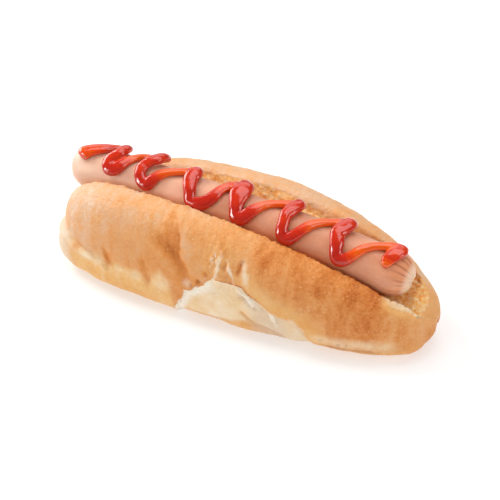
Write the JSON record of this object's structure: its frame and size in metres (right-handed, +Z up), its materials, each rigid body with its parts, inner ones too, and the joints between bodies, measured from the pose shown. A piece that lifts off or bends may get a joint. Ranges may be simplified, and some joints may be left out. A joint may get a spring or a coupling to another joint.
{
  "type": "hot dog",
  "caption": "Hot dog: a split, browned bread roll holding a long smooth sausage with a zigzag bead of ketchup along its top.",
  "frame": {"origin": "on the surface the roll stands on, under the middle of the whole hot dog's box", "axes": "+X along the roll from its blunt end to its tapered end, where the sausage's knot is; +Y to the back, away from the half with the torn crust; +Z up"},
  "size_m": [0.1654, 0.0635, 0.0518],
  "materials": {
    "crust": "soft baked crust, satin to matte, golden brown over paler bread",
    "sausage_skin": "smooth pinkish tan skin with a slight gloss",
    "ketchup": "wet, glossy, slightly see-through orange red sauce"
  },
  "bodies": {
    "root": {"bun": "crust", "sausage": "sausage_skin", "ketchup": "ketchup"}
  },
  "joints": []
}
